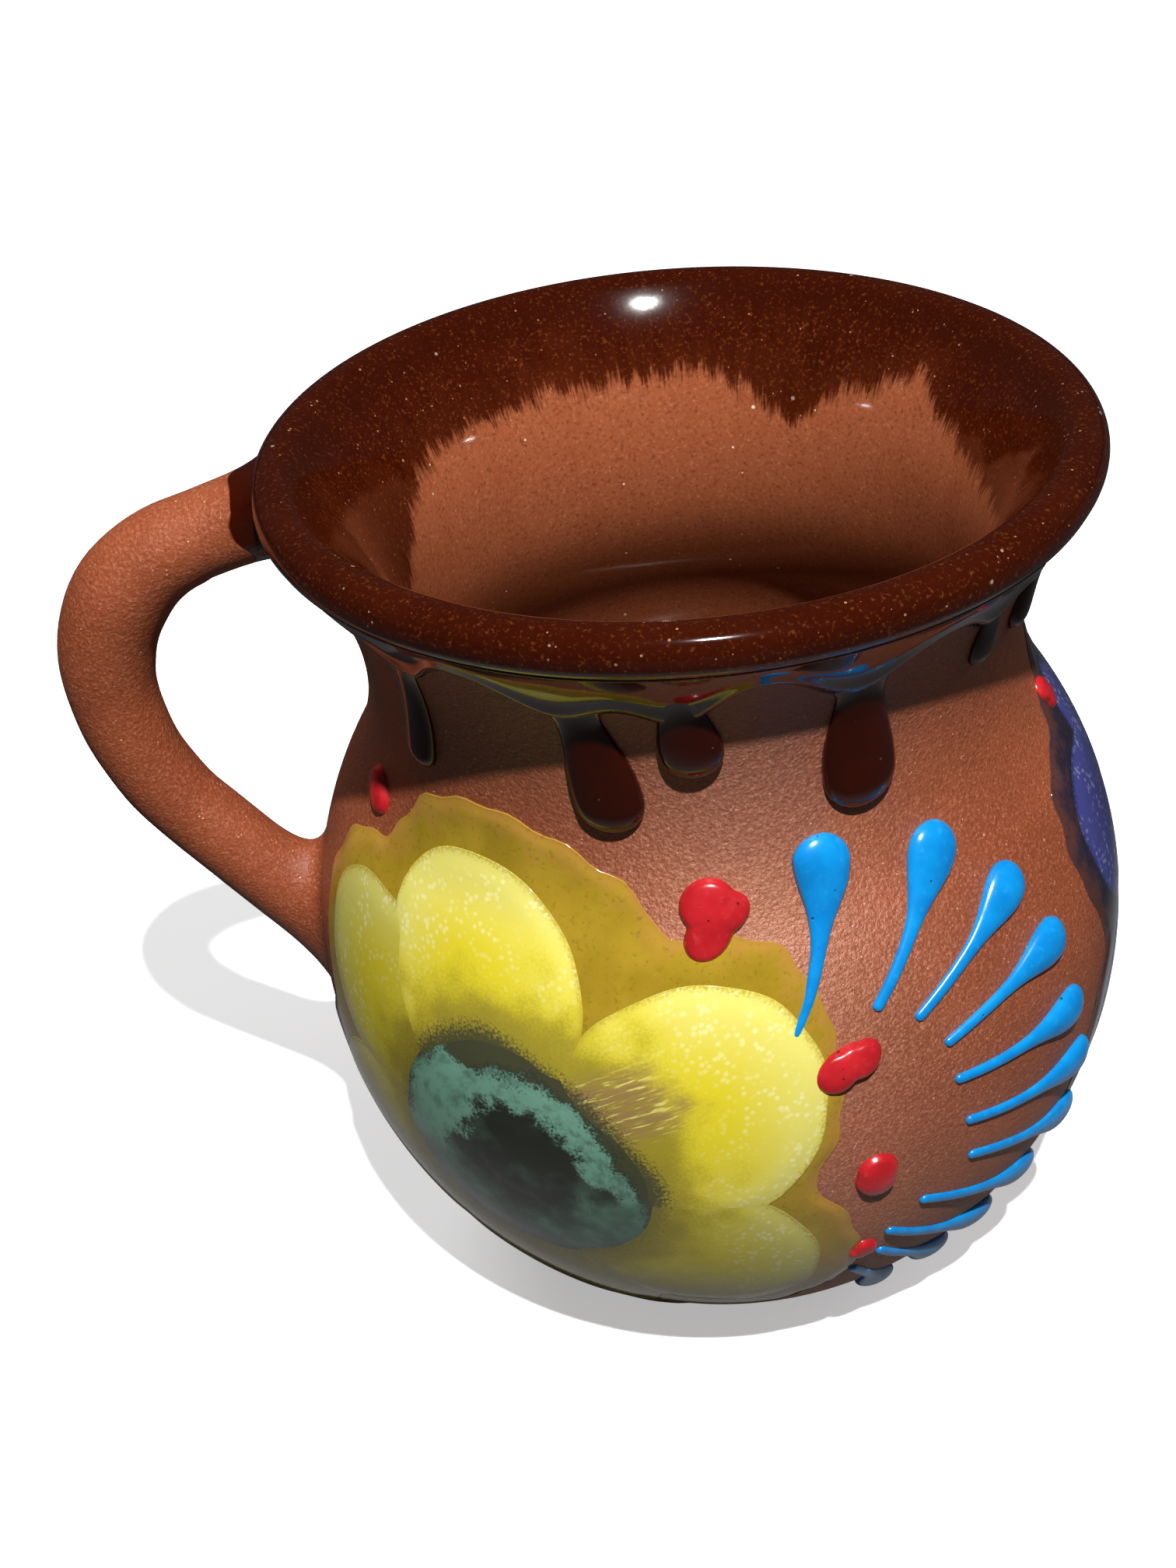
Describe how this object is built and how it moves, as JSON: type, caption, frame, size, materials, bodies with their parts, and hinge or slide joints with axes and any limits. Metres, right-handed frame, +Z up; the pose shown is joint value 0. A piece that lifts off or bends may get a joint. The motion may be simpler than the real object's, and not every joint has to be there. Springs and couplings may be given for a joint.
{
  "type": "clay mug",
  "caption": "Round-bellied clay jarrito mug with a looped handle, flared rim with dripping brown glaze, and flowers, trailed drops and dots of coloured glaze.",
  "frame": {"origin": "middle of the flat foot, on the surface the mug stands on", "axes": "+Z up along the mug's axis, -X towards the handle, -Y towards the side with the yellow flower"},
  "size_m": [0.1128, 0.091, 0.1005],
  "materials": {
    "clay": "matte, fine grained, unglazed",
    "brown_glaze": "glossy, translucent",
    "clear_glaze": "glossy, clear over clay",
    "yellow_glaze": "glossy",
    "cobalt_glaze": "glossy",
    "teal_glaze": "glossy",
    "dark_green_glaze": "glossy",
    "olive_glaze": "glossy, translucent",
    "dark_blue_glaze": "glossy, translucent",
    "light_blue_glaze": "glossy",
    "red_glaze": "glossy"
  },
  "bodies": {
    "root": {"blue_flower_dots": "red_glaze", "blue_flower_drops": "light_blue_glaze", "blue_flower_eye": "dark_green_glaze", "blue_flower_halo": "dark_blue_glaze", "blue_flower_heart": "teal_glaze", "blue_flower_petal_1": "cobalt_glaze", "blue_flower_petal_2": "cobalt_glaze", "blue_flower_petal_3": "cobalt_glaze", "blue_flower_petal_4": "cobalt_glaze", "blue_flower_petal_5": "cobalt_glaze", "blue_flower_petal_6": "cobalt_glaze", "clay_body": "clay", "glaze_run_01": "brown_glaze", "glaze_run_02": "brown_glaze", "glaze_run_03": "brown_glaze", "glaze_run_04": "brown_glaze", "glaze_run_05": "brown_glaze", "glaze_run_06": "brown_glaze", "glaze_run_07": "brown_glaze", "glaze_run_08": "brown_glaze", "glaze_run_09": "brown_glaze", "glaze_run_10": "brown_glaze", "glaze_run_11": "brown_glaze", "handle": "clay", "liner_glaze": "clear_glaze", "lower_joint_clay": "clay", "rim_glaze": "brown_glaze", "upper_joint_clay": "clay", "yellow_flower_dots": "red_glaze", "yellow_flower_drops": "light_blue_glaze", "yellow_flower_eye": "dark_green_glaze", "yellow_flower_halo": "olive_glaze", "yellow_flower_heart": "teal_glaze", "yellow_flower_petal_1": "yellow_glaze", "yellow_flower_petal_2": "yellow_glaze", "yellow_flower_petal_3": "yellow_glaze", "yellow_flower_petal_4": "yellow_glaze", "yellow_flower_petal_5": "yellow_glaze", "yellow_flower_petal_6": "yellow_glaze"}
  },
  "joints": []
}
